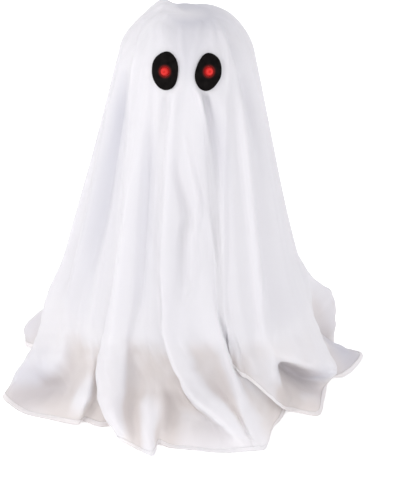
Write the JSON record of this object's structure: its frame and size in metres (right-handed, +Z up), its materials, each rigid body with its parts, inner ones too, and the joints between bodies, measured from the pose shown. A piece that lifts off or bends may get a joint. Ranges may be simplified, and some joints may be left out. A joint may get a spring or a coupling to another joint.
{
  "type": "light-up cloth ghost figure",
  "caption": "Free-standing ghost decoration: a sheer white cloth draped over a domed head on a post, with black oval eyes that hold glowing red lamps, battery powered.",
  "frame": {"origin": "on the floor under the middle of the figure", "axes": "+Z up, the face looks along -Y, +X to the viewer's right when looking at the face"},
  "size_m": [0.32, 0.3198, 0.345],
  "materials": {
    "sheer_cloth": "thin white voile, semi-sheer",
    "lining_cloth": "white woven lining",
    "spring_wire": "bright drawn wire",
    "black_felt": "matte black felt",
    "red_lamp": "diffused red lamp, lit",
    "white_plastic": "moulded matte white",
    "black_plastic": "moulded matte black",
    "screw_steel": "zinc plated",
    "black_rubber": "soft black rubber",
    "foot_rubber": "grey rubber pad",
    "cell_wrap": "plain printed-film wrap",
    "contact_metal": "nickel plated",
    "switch_plastic": "moulded black",
    "red_wire": "PVC insulation",
    "black_wire": "PVC insulation"
  },
  "bodies": {
    "figure": {"shroud": "sheer_cloth", "lining": "lining_cloth", "hoop_wire": "spring_wire", "left_eye_patch": "black_felt", "right_eye_patch": "black_felt", "left_led": "red_lamp", "right_led": "red_lamp", "led_retainers": "black_plastic", "head_front": "white_plastic", "head_rear": "white_plastic", "head_screws": "screw_steel", "support_post": "white_plastic", "wire_grommet": "black_rubber", "base_plate": "white_plastic", "rubber_feet": "foot_rubber", "post_screws": "screw_steel", "battery_case": "black_plastic", "case_screws": "screw_steel", "aa_cells": "cell_wrap", "negative_terminal": "contact_metal", "positive_terminal": "contact_metal", "bridge_contact": "contact_metal", "switch_body": "switch_plastic", "switch_screws": "screw_steel", "red_leads": "red_wire", "black_leads": "black_wire"},
    "battery_lid": {"battery_lid": "black_plastic"},
    "switch_knob": {"switch_knob": "switch_plastic"}
  },
  "joints": [
    {"name": "battery_lid_slide", "type": "slide", "parent": "figure", "child": "battery_lid", "axis": [1, 0, 0], "range_m": [0, 0.074]},
    {"name": "switch_slide", "type": "slide", "parent": "figure", "child": "switch_knob", "axis": [0, -1, 0], "range_m": [0, 0.0035]}
  ]
}
